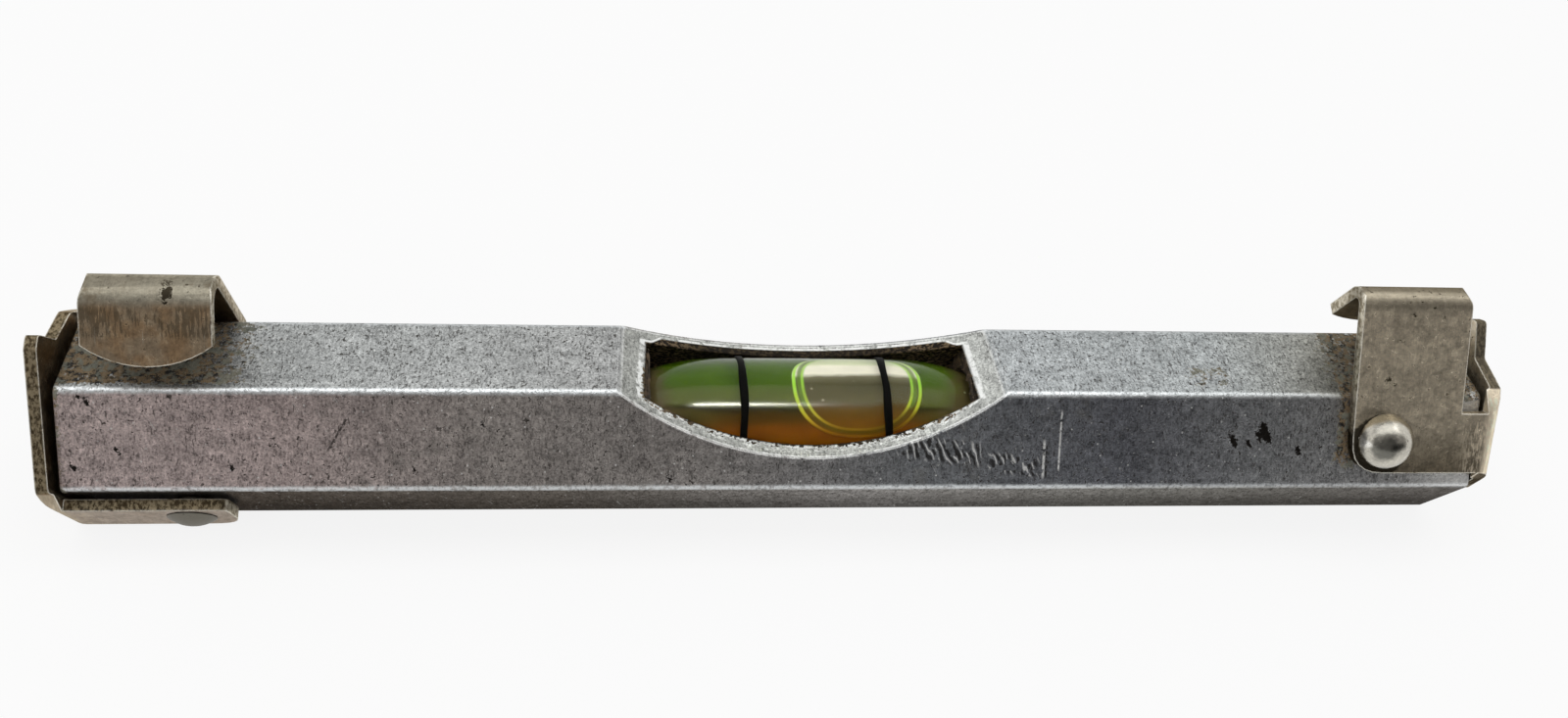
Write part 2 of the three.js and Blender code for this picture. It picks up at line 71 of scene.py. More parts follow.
# Vial: the glass is modelled solid, so it magnifies the spirit inside it to its whole width.
# Each end goes on by the first number of END_ROUNDING and narrows by the second
VIAL_RADIUS = 3.55
VIAL_WALL = 0.45
VIAL_MIDDLE = 0.5
VIAL_HALF_LENGTH = 11.3
VIAL_STRAIGHT = 4.8
VIAL_END_RADIUS = 1.55
VIAL_TURNS = 96
VIAL_STEPS = 48
END_ROUNDING = (0.06, 0.2)
SPIRIT_RADIUS = 2.46
SPIRIT_GAP = 0.06

# Bubble: a long blister on the spirit, as wide as this angle to each side of the top. The crown
# stands above the spirit's surface and the keel lies below it
BUBBLE_MIDDLE = 3.2
BUBBLE_HALF_LENGTH = 3.75
BUBBLE_HALF_ANGLE = 68.0
BUBBLE_CROWN = 0.30
BUBBLE_KEEL = 0.14
BUBBLE_SQUARENESS = 2.35
BUBBLE_RINGS = 26
BUBBLE_TURNS = 96

# Painted lines: the place of each along the bar, and its lean in degrees
LINE_PLACES = {"vial_line_left": (-3.38, 0.6), "vial_line_right": (4.84, 1.6)}
LINE_WIDTH = 0.45
LINE_THICKNESS = 0.08
LINE_LIFT = 0.015

# Putty beds: how deep their surface sinks at most, and how wide its lumps are
PUTTY_SINK = 0.45
PUTTY_LUMP = 0.5

# CAD nodes: points closer than this in metres are one, and edges sharper than this angle stay sharp
WELD_DISTANCE = 1e-7
SHARP_ANGLE = 28.0

# Colours that several marks on the bar share; BRIGHT_METAL is that of its painted highlights
BRIGHT_METAL = (0.90, 0.90, 0.88)
SCRATCHED_METAL = (0.62, 0.62, 0.60)

# The Mix node's colour sockets, which it has besides those for numbers and vectors
MIX_FIRST, MIX_SECOND, MIX_RESULT = 6, 7, 2

# Camera: its lens, its sensor, its place, and its axes in the part's frame
LENS = 33.325
SENSOR_WIDTH = 36.0
CAMERA_PLACE = (-11.039, -59.569, 64.224)
CAMERA_RIGHT = (0.99259, -0.08421, 0.08755)
CAMERA_UP = (-0.00746, 0.67712, 0.73583)
CAMERA_BACK = (-0.12125, -0.73103, 0.67148)

# Floor: from its middle to each side
FLOOR_REACH = 2500


class Wire:
    """A shader socket that can stand in a sum, which adds the Math nodes it needs."""

    def __init__(self, finish, socket):
        self.finish = finish
        self.socket = socket

    def __add__(self, other):
        return self.finish.maths("ADD", self, other)

    def __radd__(self, other):
        return self.finish.maths("ADD", other, self)

    def __sub__(self, other):
        return self.finish.maths("SUBTRACT", self, other)

    def __rsub__(self, other):
        return self.finish.maths("SUBTRACT", other, self)

    def __mul__(self, other):
        return self.finish.maths("MULTIPLY", self, other)

    def __rmul__(self, other):
        return self.finish.maths("MULTIPLY", other, self)

    def __abs__(self):
        return self.finish.maths("ABSOLUTE", self, 0.0)

    def or_more(self, other):
        return self.finish.maths("MAXIMUM", self, other)


class Finish:
    """A node tree being filled: a material's, or the world's."""

    def __init__(self, tree):
        self.tree = tree
        tree.nodes.clear()

    def node(self, kind, settings, sockets, output=0):
        """Adds a node with its settings and its sockets' values, and gives one output."""
        made = self.tree.nodes.new("ShaderNode" + kind)
        for name, value in settings.items():
            if name == "stops":
                set_stops(made.color_ramp, value)
            else:
                setattr(made, name, value)
        for key, value in sockets.items():
            if isinstance(value, Wire):
                self.tree.links.new(value.socket, made.inputs[key])
            else:
                made.inputs[key].default_value = value
        return Wire(self, made.outputs[output]) if made.outputs else None

    def maths(self, operation, first, second):
        return self.node("Math", {"operation": operation}, {0: first, 1: second})

    def span(self, along, across):
        """The length of the line that goes so far along and so far across."""
        return self.maths("SQRT", along * along + across * across, 0.0)

    def place(self):
        """The point in millimetres, in the frame of the piece."""
        point = self.node("TexCoord", {}, {}, output="Object")
        return self.node("VectorMath", {"operation": "SCALE"}, {0: point, "Scale": 1 / MM})

    def facing(self):
        """The normal in the frame of the piece."""
        return self.node("TexCoord", {}, {}, output="Normal")

    def parts(self, vector):
        return [self.node("SeparateXYZ", {}, {0: vector}, output=axis) for axis in "XYZ"]

    def joined(self, x, y, z):
        return self.node("CombineXYZ", {}, {0: x, 1: y, 2: z})

    def stretched(self, point, x, y, z):
        return self.node("VectorMath", {"operation": "MULTIPLY"}, {0: point, 1: (x, y, z)})

    def step(self, value, low, high):
        """0 at low and 1 at high, softly between them, whichever of the two is more."""
        settings = {"interpolation_type": "SMOOTHSTEP"}
        return self.node("MapRange", settings, {"Value": value, "From Min": low, "From Max": high})

    def within(self, value, low, high, soft):
        """1 from low to high, and 0 where the value is further out than soft."""
        return self.step(value, low - soft, low) * self.step(value, high + soft, high)

    def noise(self, point, scale, detail=3.0, rough=0.55):
        sockets = {"Vector": point, "Scale": scale, "Detail": detail, "Roughness": rough}
        return self.node("TexNoise", {}, sockets)

    def cells(self, point, scale):
        """The distance to the nearest of many scattered points."""
        return self.node("TexVoronoi", {}, {"Vector": point, "Scale": scale})

    def mixed(self, share, first, second):
        sockets = {0: share, MIX_FIRST: colour(first), MIX_SECOND: colour(second)}
        return self.node("Mix", {"data_type": "RGBA"}, sockets, output=MIX_RESULT)

    def shaded(self, first, share):
        """A colour made darker or lighter by a share that changes over the surface."""
        settings = {"data_type": "RGBA", "blend_type": "MULTIPLY"}
        grey = self.joined(share, share, share)
        sockets = {0: 1.0, MIX_FIRST: colour(first), MIX_SECOND: grey}
        return self.node("Mix", settings, sockets, output=MIX_RESULT)

    def along(self, value, stops):
        """A colour that changes with a value, from stops given in the value's own unit."""
        low, high = stops[0][0], stops[-1][0]
        share = self.node("MapRange", {}, {"Value": value, "From Min": low, "From Max": high})
        ramp = [((at - low) / (high - low), tint) for at, tint in stops]
        return self.node("ValToRGB", {"stops": ramp}, {0: share})

    def bumped(self, height, distance, strength=1.0, normal=None):
        sockets = {"Height": height, "Distance": distance * MM, "Strength": strength}
        if normal is not None:
            sockets["Normal"] = normal
        return self.node("Bump", {}, sockets)

    def rounded(self, radius):
        """The normal as if the piece's edges were rounded."""
        return self.node("Bevel", {"samples": EDGE_SAMPLES}, {"Radius": radius * MM})

    def edges(self, rounded, low, high):
        """1 on the sharp edges of a piece, 0 on its faces."""
        plain = self.node("NewGeometry", {}, {}, output="Normal")
        settings = {"operation": "DOT_PRODUCT"}
        likeness = self.node("VectorMath", settings, {0: rounded, 1: plain}, output="Value")
        return self.step(likeness, 1 - low, 1 - high)

    def finished(self, **sockets):
        """Makes the surface, from values or wires named after the shader's sockets."""
        named = {name.replace("_", " "): colour(value) for name, value in sockets.items()}
        body = self.node("BsdfPrincipled", {}, named)
        self.node("OutputMaterial", {}, {"Surface": body})


def colour(value):
    """A plain colour gets its fourth number, and all else is passed on."""
    if isinstance(value, tuple) and len(value) == 3:
        return (*value, 1.0)
    return value


def set_stops(ramp, stops):
    """Puts the stops into a colour ramp, which has two to start with."""
    while len(ramp.elements) < len(stops):
        ramp.elements.new(0.5)
    for element, (at, tint) in zip(ramp.elements, stops):
        element.position = at
        element.color = (*tint, 1.0)


def new_finish(name):
    """An empty material, and its node tree to be filled."""
    material = bpy.data.materials.new(name)
    material.use_nodes = True
    return material, Finish(material.node_tree)


def bar_places(f):
    """Where a point lies on the bar, the face it is on, and the noises that several marks share."""
    point = f.place()
    x, y, z = f.parts(point)
    height = z - AXIS_HEIGHT
    side = abs(y)
    slope = SLOPE_SIN * side + SLOPE_COS * height
    under = SLOPE_SIN * side - SLOPE_COS * height
    depth = abs(height).or_more(slope.or_more(under))
    return SimpleNamespace(
        point=point, x=x, y=y, height=height, side=side, depth=depth,
        up_slope=height * SLOPE_SIN - side * SLOPE_COS,
        on_top=f.step(height, BAR_EDGE - 0.2, BAR_EDGE - 0.05),
        on_slope=f.step(slope, BAR_EDGE - 0.12, BAR_EDGE - 0.03),
        on_under=f.step(under, BAR_EDGE - 0.12, BAR_EDGE - 0.03),
        outside=f.step(depth, BAR_EDGE - 0.5, BAR_EDGE - 0.12),
        cloud=f.noise(point, 0.28, 4.0, 0.6),
        mottle=f.noise(point, 1.6, 5.0, 0.65),
        speckle=f.noise(point, 4.4, 3.0, 0.62),
        grain=f.noise(point, 9.0, 4.0, 0.7),
    )


def pitted_aluminium():
    """Satin bar stock: bright ridges, pits, scratches and brown corrosion beside the clips, with
    painted highlights and painted shade.
    """
    material, f = new_finish("pitted_aluminium")
    at = bar_places(f)
    metal, dark_spots, flecks = bar_specks(f, at, bar_metal(f, at))
    metal, dents = bar_dents(f, at, bar_scratches(f, at, metal))
    # Bright ridges: worn metal and a painted highlight
    ridge = ridge_wear_and_highlight(f, at)
    metal = f.mixed(ridge, metal, (0.74, 0.77, 0.78))
    rot = clip_corrosion(f, at)
    metal = f.mixed(rot * 0.92, metal, corrosion_tint(f, at))
    from_bore = above_bore(f, at)
    # Grime and painted shade inside the bore
    inside = f.step(from_bore, BORE_EDGE + 0.08, BORE_EDGE + 0.01)
    metal = f.mixed(inside, metal, bore_grime_and_shade(f, at))

    rounded = f.rounded(BAR_ROUNDING)
    # Burrs and worn edges round the window, with a painted highlight
    burr_highlight = window_burr_highlight(f, at, rounded, from_bore) * (1 - inside)
    metal = f.mixed(burr_highlight * 0.9, metal, (0.93, 0.94, 0.92))
    rough = 0.30 + 0.24 * at.mottle + 0.10 * at.speckle + 0.25 * rot + 0.3 * inside - 0.12 * ridge
    relief = at.grain * 0.6 + at.mottle * 0.8 + at.speckle * 0.7
    relief = relief - dark_spots * 1.4 + flecks * 0.5 - dents
    f.finished(
        Base_Color=metal,
        Metallic=1.0 - 0.75 * inside.or_more(rot * 0.7),
        Roughness=rough,
        Normal=f.bumped(relief, 0.026, 0.8, rounded),
        Specular_Tint=(0.30, 0.29, 0.28),
    )
    return material


def bar_metal(f, at):
    """The metal's tone along each face, nowhere even: partly tarnish, and partly painted shade that
    darkens the front flank right of its middle and the lower flat most.
    """
    top = f.along(at.x, [
        (-40, (0.35, 0.36, 0.355)),
        (-20, (0.35, 0.36, 0.355)),
        (-10.5, (0.33, 0.335, 0.33)),
        (12, (0.38, 0.40, 0.405)),
        (24, (0.37, 0.39, 0.39)),
        (31, (0.31, 0.31, 0.28)),
    ])
    flank = f.along(at.x, [
        (-40, (0.49, 0.41, 0.395)),
        (-28, (0.45, 0.375, 0.36)),
        (-18, (0.34, 0.31, 0.29)),
        (-6, (0.31, 0.29, 0.275)),
        (6, (0.21, 0.22, 0.23)),
        (18, (0.155, 0.16, 0.178)),
        (27, (0.26, 0.265, 0.27)),
        (40, (0.36, 0.35, 0.34)),
    ])
    # Painted shade: the lower flat is darker than the other faces
    belly = f.along(at.x, [
        (-40, (0.085, 0.070, 0.058)),
        (-14, (0.16, 0.145, 0.13)),
        (4, (0.31, 0.30, 0.29)),
        (20, (0.245, 0.24, 0.225)),
        (40, (0.17, 0.16, 0.15)),
    ])
    scooped = f.along(at.x, [
        (-11.5, (0.35, 0.355, 0.335)),
        (0, (0.45, 0.46, 0.43)),
        (12, (0.46, 0.47, 0.45)),
    ])
    metal = f.mixed(at.on_slope, scooped, flank)
    # Painted shade: the lower flat gets darker towards its bottom edge
    belly = f.shaded(belly, f.step(at.height, -4.3, -0.2) * 0.65 + 0.62)
    metal = f.mixed(at.on_under, metal, belly)
    metal = f.mixed(at.on_top, metal, top)

    rubbed = f.noise(f.stretched(at.point, 3.4, 1.0, 1.0), 2.6, 4.0, 0.65)
    uneven = 1.1 * at.speckle + 1.3 * at.mottle + 1.4 * rubbed + 2.4 * at.grain - 2.1
    metal = f.shaded(metal, uneven.or_more(0.22))
    metal = f.shaded(metal, 0.65 + 0.70 * at.cloud)
    blotch = f.step(f.noise(at.point, 0.55, 5.0, 0.62), 0.56, 0.70)
    blotch = blotch * at.on_slope * f.step(at.x, -30.0, -22.0)
    return f.mixed(blotch * 0.40, metal, (0.15, 0.145, 0.13))


def bar_specks(f, at, metal):
    """Dark pits, specks and short dashes, with bright flecks between them."""
    dashes = f.step(f.noise(f.stretched(at.point, 6.5, 2.2, 2.2), 1.25, 2.5, 0.6), 0.60, 0.65)
    pits = f.step(f.noise(at.point, 4.6, 2.0, 0.5), 0.64, 0.69) * f.step(at.cloud, 0.34, 0.56)
    specks = f.step(f.cells(at.point, 1.15), 0.11, 0.05)
    specks = specks * f.step(f.noise(at.point, 0.7, 2.0), 0.46, 0.56)
    grit = f.noise(at.point, 7.0, 1.5, 0.5)
    dark_spots = pits.or_more(specks).or_more(dashes * 0.75)
    dark_spots = dark_spots.or_more(f.step(grit, 0.31, 0.24) * 0.55) * at.outside
    metal = f.mixed(dark_spots * 0.85, metal, (0.035, 0.030, 0.025))
    flecks = f.step(f.cells(f.stretched(at.point, 1.0, 1.1, 0.9), 1.7), 0.12, 0.04) * at.outside
    metal = f.mixed(flecks * 0.70, metal, (0.80, 0.80, 0.78))
    metal = f.mixed(f.step(grit, 0.68, 0.76) * at.outside * 0.5, metal, SCRATCHED_METAL)
    return metal, dark_spots, flecks


def bar_scratches(f, at, metal):
    """Hairlines: slanted ones in patches, and others along the bar."""
    slant = f.joined(at.x * 0.9 + at.up_slope * 0.5, at.up_slope * 0.9 - at.x * 0.5, at.y)
    hairs = f.step(f.noise(f.stretched(slant, 7.0, 0.5, 0.1), 1.4, 2.0, 0.5), 0.69, 0.75)
    hair_patch = f.step(f.noise(at.point, 0.22, 2.0), 0.48, 0.56)
    metal = f.mixed(hairs * hair_patch * at.outside * 0.5, metal, SCRATCHED_METAL)
    streaks = f.noise(f.stretched(at.point, 0.35, 6.0, 6.0), 2.4, 4.0, 0.6)
    length_hairs = f.step(streaks, 0.67, 0.73) * at.outside
    return f.mixed(length_hairs * 0.30, metal, (0.62, 0.63, 0.62))


def bar_dents(f, at, metal):
    """The front flank's marks: a painted highlight at its right end, the gouges and the black
    dents.
    """
    front = at.on_slope * f.step(at.y, 0.0, -1.0)
    # Painted highlight on the front flank's right end
    painted_end_highlight = f.shaded(BRIGHT_METAL, 0.5 + at.speckle)
    metal = f.mixed(f.step(at.x, 34.0, 38.9) * front * 0.7, metal, painted_end_highlight)
    # Painted shade and painted highlight on the gouges' sides
    bright, dark = gouges(f, at)
    metal = f.mixed(dark * front * 0.9, metal, (0.03, 0.028, 0.026))
    metal = f.mixed(bright * front * 0.95, metal, BRIGHT_METAL)
    spots = dark_dents(f, at) * front
    metal = f.mixed(spots, metal, (0.018, 0.016, 0.014))
    return metal, spots * 1.5 + dark * front


def above_bore(f, at):
    """The distance from the bar's axis, counted less where the bore's grime and painted shade reach
    over the window's rim.
    """
    behind = f.step(at.y, 0.0, 1.0) * f.within(at.x, -7.8, 8.6, 0.8) * 0.42
    crumbs = f.step(at.speckle + at.mottle, 0.96, 1.12)
    crumbs = crumbs * f.step(abs(at.x), 10.0, 8.0) * f.step(at.y, 0.5, 0.0) * 0.30
    return at.depth - behind - crumbs


def window_burr_highlight(f, at, rounded, from_bore):
    """The bright broken lines on the scoop's edges and on the edge of the window: burrs and worn
    edges, with a painted highlight.
    """
    worn_edge_highlight = f.edges(rounded, 0.02, 0.10) * f.step(broken_light(f, at), 0.34, 0.50)
    near_window = f.within(at.x, *WINDOW_ENDS, 0.4) * f.step(at.height, -1.5, -0.5)
    scooped_face = 1.0 - at.on_top.or_more(at.on_slope).or_more(at.on_under)
    lip = f.within(from_bore, BORE_EDGE + 0.09, BORE_EDGE + 0.19, 0.05)
    lip = lip.or_more(f.within(at.depth, BAR_EDGE - 0.14, BAR_EDGE - 0.05, 0.06) * 0.8)
    lip = lip * scooped_face * f.step(broken_light(f, at), 0.36, 0.54) * 0.85
    return worn_edge_highlight.or_more(lip) * near_window


def broken_light(f, at):
    """Where a worn edge is bright and where it is dull."""
    return f.noise(at.point, 1.7, 4.0, 0.7)


def gouges(f, at):
    """Two groups of short slanted dents right of the window, and two long scratches.

    The first mask is the painted highlight on their bright sides and the second the painted shade
    on their dark ones.
    """
    x, up_slope = at.x, at.up_slope
    path = up_slope + (x - 5.0) * 0.12
    first = f.within(x, 5.4, 9.6, 0.5) * f.within(path, -0.75, 0.30, 0.3)
    second = f.within(x, 10.6, 13.0, 0.5) * f.within(path, -0.95, -0.15, 0.3)
    jitter = f.noise(f.joined(x, up_slope * 0.4, 0.0), 1.1, 2.0, 0.5)
    phase = (x + up_slope * 0.45) * 2.3 + jitter * 2.6
    place = f.maths("PINGPONG", phase, 0.5)
    patchy = f.step(f.noise(f.joined(x * 1.5, up_slope, 3.0), 1.6, 2.0, 0.5), 0.42, 0.50)
    group = first.or_more(second) * patchy
    dark = f.step(place, 0.30, 0.18) * group
    bright = f.step(place, 0.36, 0.44) * group * 0.8
    lean = x + up_slope * 0.02
    long_one = f.within(lean, 13.46, 13.54, 0.06) * f.within(up_slope, -1.9, -0.2, 0.4)
    # Painted shade: a dark line beside the long scratch
    shade = f.within(lean, 13.62, 13.70, 0.06) * f.within(up_slope, -1.9, -0.4, 0.4)
    other = f.within(x + up_slope * 0.01, 14.38, 14.43, 0.05) * f.within(up_slope, -1.5, 1.5, 0.4)
    worn = f.step(at.speckle, 0.36, 0.50)
    return bright.or_more(long_one.or_more(other) * worn), dark.or_more(shade * worn)


def dark_dents(f, at):
    """Black slanted dents near the right clip, a few others, and one slanted streak on the left."""
    marks = [
        (24.62, 0.04, 0.46), (25.57, -0.08, 0.34), (26.50, 0.50, 0.62), (26.15, 0.35, 0.42),
        (28.63, -0.52, 0.40), (25.1, -0.75, 0.22), (-36.44, -0.56, 0.30), (-37.73, 2.05, 0.32),
        (-38.14, 2.3, 0.24), (-38.64, -1.44, 0.28), (-30.71, -1.40, 0.28), (-7.57, -2.1, 0.32),
        (-21.3, -1.5, 0.26), (-17.6, 0.9, 0.26),
    ]
    found = 0.0
    ragged = at.speckle * 0.8 + at.grain * 0.5
    for place, up, size in marks:
        fall = at.up_slope - up
        along, across = (at.x - place + fall * 0.4) * 1.6, fall * 0.8
        reach = f.span(along, across) + ragged
        found = f.step(reach, size + 0.62, size + 0.44).or_more(found)
    streak = f.within(at.x - 0.58 * (at.up_slope - 0.5), -25.16, -25.08, 0.07)
    streak = streak * f.within(at.up_slope, -0.4, 1.4, 0.3) * f.step(at.speckle, 0.36, 0.52)
    return found.or_more(streak * 0.8)


def ridge_wear_and_highlight(f, at):
    """Bright broken lines along the ridges between the flats: worn metal and a painted highlight.
    """
    upper = f.span(at.side - RIDGE_Y, at.height - BAR_EDGE)
    lower = f.span(at.side - SIDE_RIDGE_Y, at.height)
    broken = f.noise(f.joined(at.x, at.side * 0.6, at.height * 0.6), 1.3, 4.0, 0.7)
    near = f.step(upper + broken * 0.3, 0.46, 0.26)
    near = near.or_more(f.step(lower + broken * 0.3, 0.46, 0.28) * 0.8)
    kept = f.step(broken + at.speckle, 0.78, 1.08) * 0.65 + 0.35
    return near * kept * (0.9 - 0.4 * f.step(at.x, 14.0, 22.0))


def clip_corrosion(f, at):
    """Where corrosion sits round both clips, thickest on the top flat by the left one."""
    x, y, height = at.x, at.y, at.height
    patches = f.noise(at.point, 1.6, 6.0, 0.72)
    fine = f.noise(at.point, 4.6, 4.0, 0.70)
    on_top = f.step(height, BAR_EDGE - 0.5, BAR_EDGE - 0.1)
    clear_ridge = f.step(y, -2.65, -2.1)
    top_left = f.step(x, -26.0, -34.0) * on_top * clear_ridge
    top_right = f.step(x, 29.0, 32.3) * on_top
    plate_right = f.within(x, 31.1, 32.2, 0.6) * f.step(y, 0.0, -2.0) * f.step(height, 0.4, 1.6)
    ends = f.step(x, -38.8, -39.3) * 0.6
    stain = f.within(x, 22.6, 24.2, 1.4) * f.within(y, -1.9, -0.6, 0.8) * on_top * 0.55
    heavy = top_left.or_more(top_right * 0.85).or_more(plate_right * 0.9)
    heavy = heavy.or_more(ends).or_more(stain)
    spread = f.step(0.6 * patches + 0.4 * fine + heavy * 0.26, 0.65, 0.70)
    return spread * f.step(heavy, 0.02, 0.3)


def corrosion_tint(f, at):
    """Black and ochre clots, with olive grey between them."""
    clots = f.noise(at.point, 2.6, 5.0, 0.75)
    tone = f.mixed(f.step(clots, 0.43, 0.53), (0.010, 0.008, 0.006), (0.25, 0.18, 0.10))
    olive = f.shaded((0.30, 0.31, 0.25), 0.2 + at.speckle)
    return f.mixed(f.step(at.mottle, 0.52, 0.58) * 0.8, tone, olive)


def bore_grime_and_shade(f, at):
    """The bore's inside: nearly black, grime and painted shade, with brown crumbs that are paler at
    the window's ends.
    """
    pale = f.mixed(f.step(abs(at.x), 5.0, 8.0), (0.055, 0.040, 0.022), (0.20, 0.145, 0.085))
    return f.mixed(f.step(at.speckle, 0.44, 0.62), (0.010, 0.007, 0.004), pale)


def clip_places(f):
    """Where a point lies on a clip, and the noises that several marks share.

    The clips are one stamping turned half a turn, so out, up and reach are the same on both:
    away from the bar's axis square to the plate, up along the plate, and along the bar.
    """
    point = f.place()
    x, y, z = f.parts(point)
    turn_x, turn_y, turn_z = f.parts(f.facing())
    height = z - AXIS_HEIGHT
    end = f.maths("SIGN", x, 0.0)
    mottle = f.noise(point, 1.7, 5.0, 0.65)
    speckle = f.noise(point, 4.6, 3.0, 0.62)
    grain = f.noise(point, 10.0, 4.0, 0.7)
    brushed = f.noise(f.stretched(point, 7.0, 0.7, 0.7), 1.6, 3.0, 0.6)
    return SimpleNamespace(
        point=point, x=x, y=y, height=height, end=end,
        out=SLOPE_COS * height - SLOPE_SIN * (y * end),
        up=SLOPE_SIN * height + SLOPE_COS * (y * end),
        reach=abs(x),
        turn_along=abs(turn_x),
        turn_up=abs(SLOPE_SIN * turn_z + SLOPE_COS * (turn_y * end)),
        left=f.step(x, 0.0, -1.0),
        mottle=mottle, speckle=speckle, grain=grain, brushed=brushed,
        uneven=0.9 * speckle + 1.1 * mottle + 0.5 * brushed + 0.7 * grain - 0.6,
    )


def worn_nickel():
    """Sheet steel clip: taupe nickel plate with dark specks, brush marks and sheared edges, with
    painted highlights and painted shade.
    """
    material, f = new_finish("worn_nickel")
    at = clip_places(f)
    metal, stain, dark, spot = clip_specks(f, at, clip_metal(f, at))
    metal, sheared, torn = clip_cuts(f, at, clip_rubs(f, at, metal))
    metal = clip_shadows(f, at, clip_bend(f, at, metal))

    rounded = f.rounded(CLIP_ROUNDING)
    # Worn edges with a painted highlight along them
    edge = f.edges(rounded, 0.01, 0.09) * f.step(f.noise(at.point, 1.4, 4.0, 0.7), 0.32, 0.48)
    metal = f.mixed(edge * 0.9, metal, (0.93, 0.90, 0.80))
    relief = at.grain * 0.4 + at.speckle * 0.6 + at.mottle * 0.9 + at.brushed * 0.5
    relief = relief - dark * 1.2 + sheared * torn * 2.2
    f.finished(
        Base_Color=metal,
        Metallic=1.0 - 0.5 * dark.or_more(stain * 0.6) * (1.0 - spot),
        Roughness=0.32 + 0.22 * at.mottle + 0.2 * dark + 0.2 * sheared,
        Normal=f.bumped(relief, 0.024, 0.8, rounded),
        Specular_Tint=(0.5, 0.46, 0.40),
    )
    return material


def clip_metal(f, at):
    """The plating's colour: rustier on the left clip; a painted highlight on the left fold and
    painted shade on the right one; lighter upwards, and darker and browner low on the right clip.
    """
    cloud = f.noise(at.point, 0.35, 4.0, 0.6)
    plate = f.mixed(f.step(cloud, 0.35, 0.65), (0.43, 0.375, 0.285), (0.36, 0.315, 0.24))
    rusty = f.step(f.noise(at.point, 0.6, 3.0), 0.40, 0.62)
    rust = f.mixed(rusty, (0.268, 0.207, 0.140), (0.28, 0.19, 0.11))
    metal = f.mixed(at.left, plate, rust)
    metal = f.mixed(f.step(at.mottle, 0.55, 0.72) * 0.2, metal, (0.48, 0.43, 0.32))
    metal = f.shaded(metal, at.uneven.or_more(0.2))

    # Painted highlight on the left clip's fold
    left_fold = f.step(at.height, 9.0, 9.5) * at.left
    pale = f.shaded((0.37, 0.355, 0.29), at.uneven.or_more(0.3))
    metal = f.mixed(left_fold * 0.85, metal, pale)
    lower = f.step(at.height, 4.0, 0.0) * (1.0 - at.left)
    brown = f.shaded((0.36, 0.285, 0.175), at.uneven.or_more(0.3))
    metal = f.mixed(lower * 0.6, metal, brown)
    brighter_up = f.step(at.height, 0.5, 5.5) * (1.05 - 0.71 * at.left) + 0.47 + 0.31 * at.left
    metal = f.shaded(metal, brighter_up)
    # Painted shade on the right clip's fold
    right_fold = f.step(at.height, 9.5, 9.9) * (1.0 - at.left)
    return f.mixed(right_fold * 0.6, metal, (0.21, 0.19, 0.145))


def clip_specks(f, at, metal):
    """Brown stains, dark specks and pits, dark rows on the left tongue and one black spot."""
    stain = f.step(f.noise(at.point, 0.8, 5.0, 0.7), 0.56, 0.70)
    metal = f.mixed(stain * (0.30 + 0.25 * at.left), metal, (0.13, 0.085, 0.04))
    specks = f.step(f.noise(at.point, 3.6, 2.5, 0.55), 0.635, 0.69)
    specks = specks * f.step(at.mottle, 0.42, 0.55)
    pits = f.step(f.cells(at.point, 0.9), 0.12, 0.06)
    pits = pits * f.step(f.noise(at.point, 0.5, 2.0), 0.46, 0.56)
    in_front = f.step(at.y, 0.5, -0.5)
    tongue = f.within(at.height, 7.9, 9.0, 0.35) * at.left * in_front
    sides = f.step(abs(at.x - LEFT_HOOK_MIDDLE), 0.2, 2.4) * 0.13
    upright = f.noise(f.stretched(at.point, 6.0, 0.8, 0.8), 1.3, 3.0, 0.6)
    rows = f.step(upright + sides, 0.56, 0.63) * tongue
    spot = f.span(at.x + 33.3, (at.height - 9.6) * 0.8)
    spot = f.step(spot + at.speckle * 0.9 + at.grain * 0.9, 1.14, 1.06) * in_front
    dark = specks.or_more(pits).or_more(rows * 0.9).or_more(spot)
    metal = f.mixed(dark * 0.8, metal, (0.045, 0.033, 0.018))
    metal = f.mixed(spot, metal, (0.008, 0.006, 0.004))
    metal = f.mixed(plate_specks(f, at) * 0.9, metal, (0.030, 0.024, 0.010))
    return metal, stain, dark, spot


def plate_specks(f, at):
    """The larger dark specks on the right clip's plate, each with its place and size."""
    specks = [
        (33.6, 6.2, 0.12), (33.1, 3.9, 0.20), (33.5, 3.6, 0.14), (35.3, 1.1, 0.10),
        (34.6, 8.4, 0.12), (33.9, 8.3, 0.10), (35.3, 8.0, 0.11), (36.0, 7.5, 0.10),
        (34.2, 7.6, 0.10), (33.0, 3.4, 0.12),
    ]
    found = 0.0
    ragged = at.speckle * 0.8 + at.grain * 0.6
    for place, up, size in specks:
        reach = f.span(at.x - place, at.up - up) + ragged
        found = f.step(reach, size + 0.66, size + 0.56).or_more(found)
    return found


def clip_rubs(f, at, metal):
    """Bright hairlines, and the paler face of the left clip's leg."""
    hairs = f.step(f.noise(f.stretched(at.point, 9.0, 0.5, 0.5), 1.2, 2.0, 0.5), 0.69, 0.74)
    metal = f.mixed(hairs * 0.35, metal, (0.60, 0.56, 0.47))
    leg_face = f.step(at.out, -5.50, -5.62) * at.left
    pale = f.shaded((0.60, 0.54, 0.50), at.uneven.or_more(0.3))
    return f.mixed(leg_face * 0.6, metal, pale)


